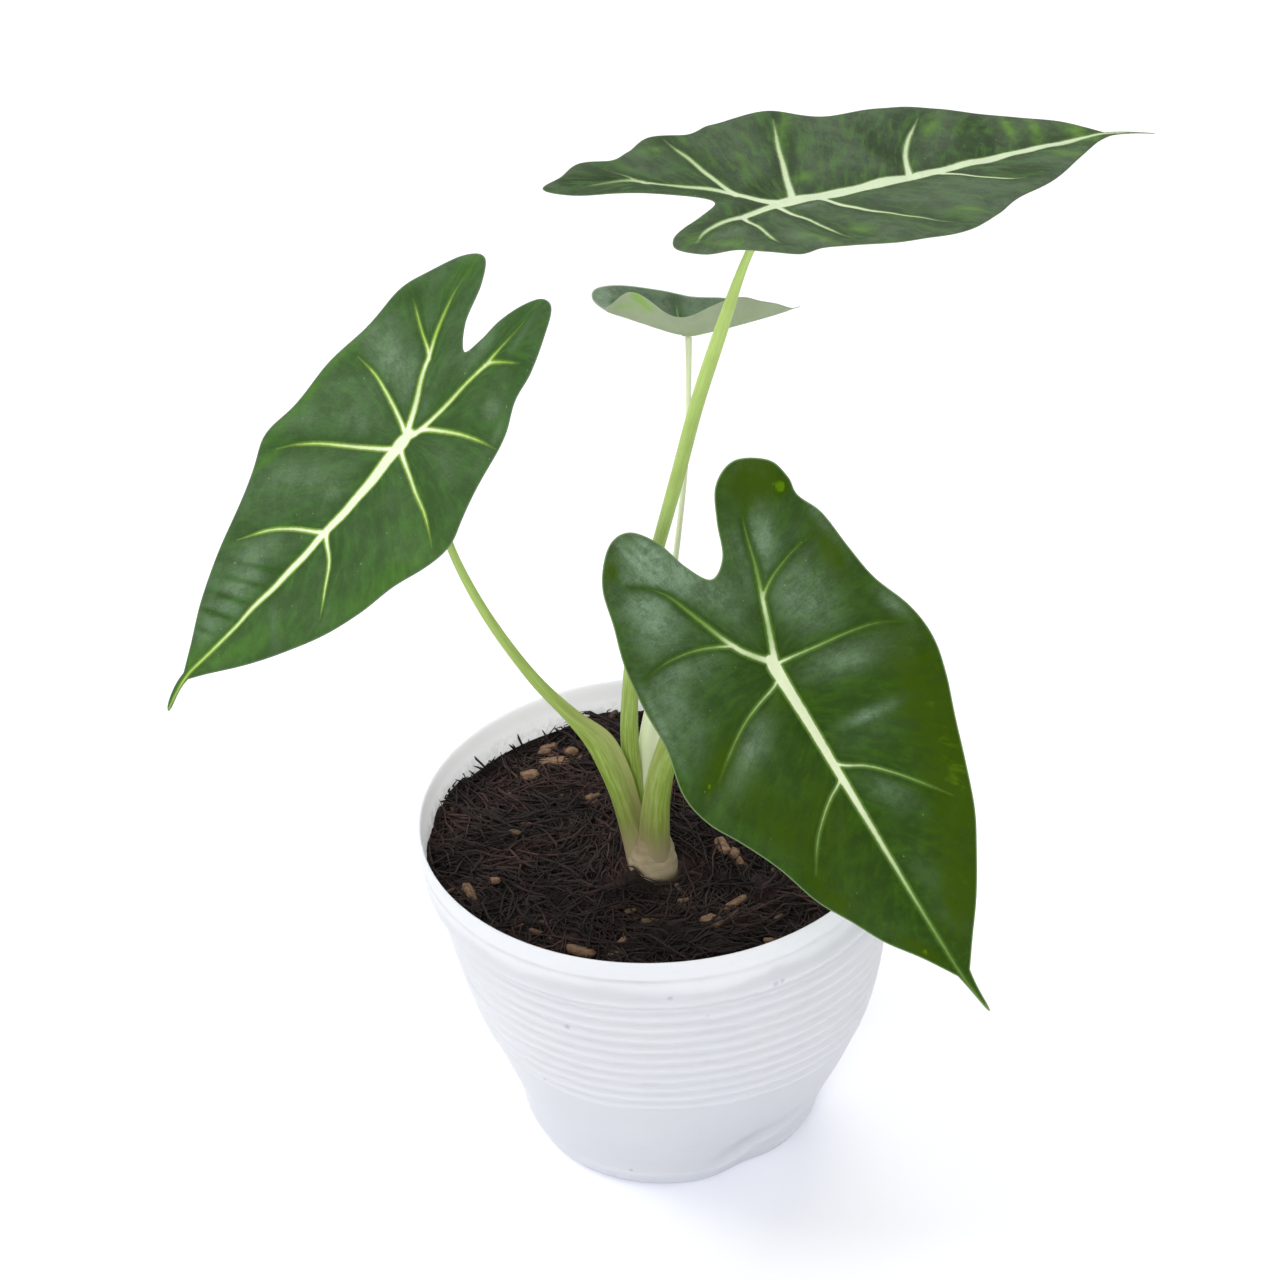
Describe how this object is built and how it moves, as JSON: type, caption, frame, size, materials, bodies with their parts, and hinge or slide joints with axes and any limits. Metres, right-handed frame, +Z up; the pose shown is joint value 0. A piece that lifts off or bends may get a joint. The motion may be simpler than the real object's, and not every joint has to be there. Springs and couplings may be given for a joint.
{
  "type": "potted alocasia plant",
  "caption": "Young alocasia plant with arrow-shaped velvety leaves on slender stalks, growing in a thin white plastic nursery pot filled with coir potting mix.",
  "frame": {"origin": "middle of the pot's underside, on the surface it stands on", "axes": "+Z up, +X to the right and +Y to the back as the plant is looked at from its front leaf"},
  "size_m": [0.2973, 0.1535, 0.3474],
  "materials": {
    "pot_plastic": "satin white moulded polypropylene",
    "potting_mix": "loose dark coir fibre and bark chips",
    "stem_skin": "dry beige-brown skin",
    "stalk_green": "smooth waxy light green",
    "stalk_pale": "smooth pale cream-green",
    "leaf_dark": "velvety dark green with cream veins",
    "leaf_grey": "velvety grey-green with cream veins",
    "leaf_deep": "satin deep green with cream veins",
    "leaf_young": "matt pale grey-green"
  },
  "bodies": {
    "root": {"pot": "pot_plastic", "soil": "potting_mix", "stem_base": "stem_skin", "petiole_1": "stalk_green", "petiole_2": "stalk_green", "petiole_3": "stalk_green", "petiole_4": "stalk_pale", "leaf_1": "leaf_dark", "leaf_2": "leaf_grey", "leaf_3": "leaf_deep", "leaf_4": "leaf_young"}
  },
  "joints": []
}
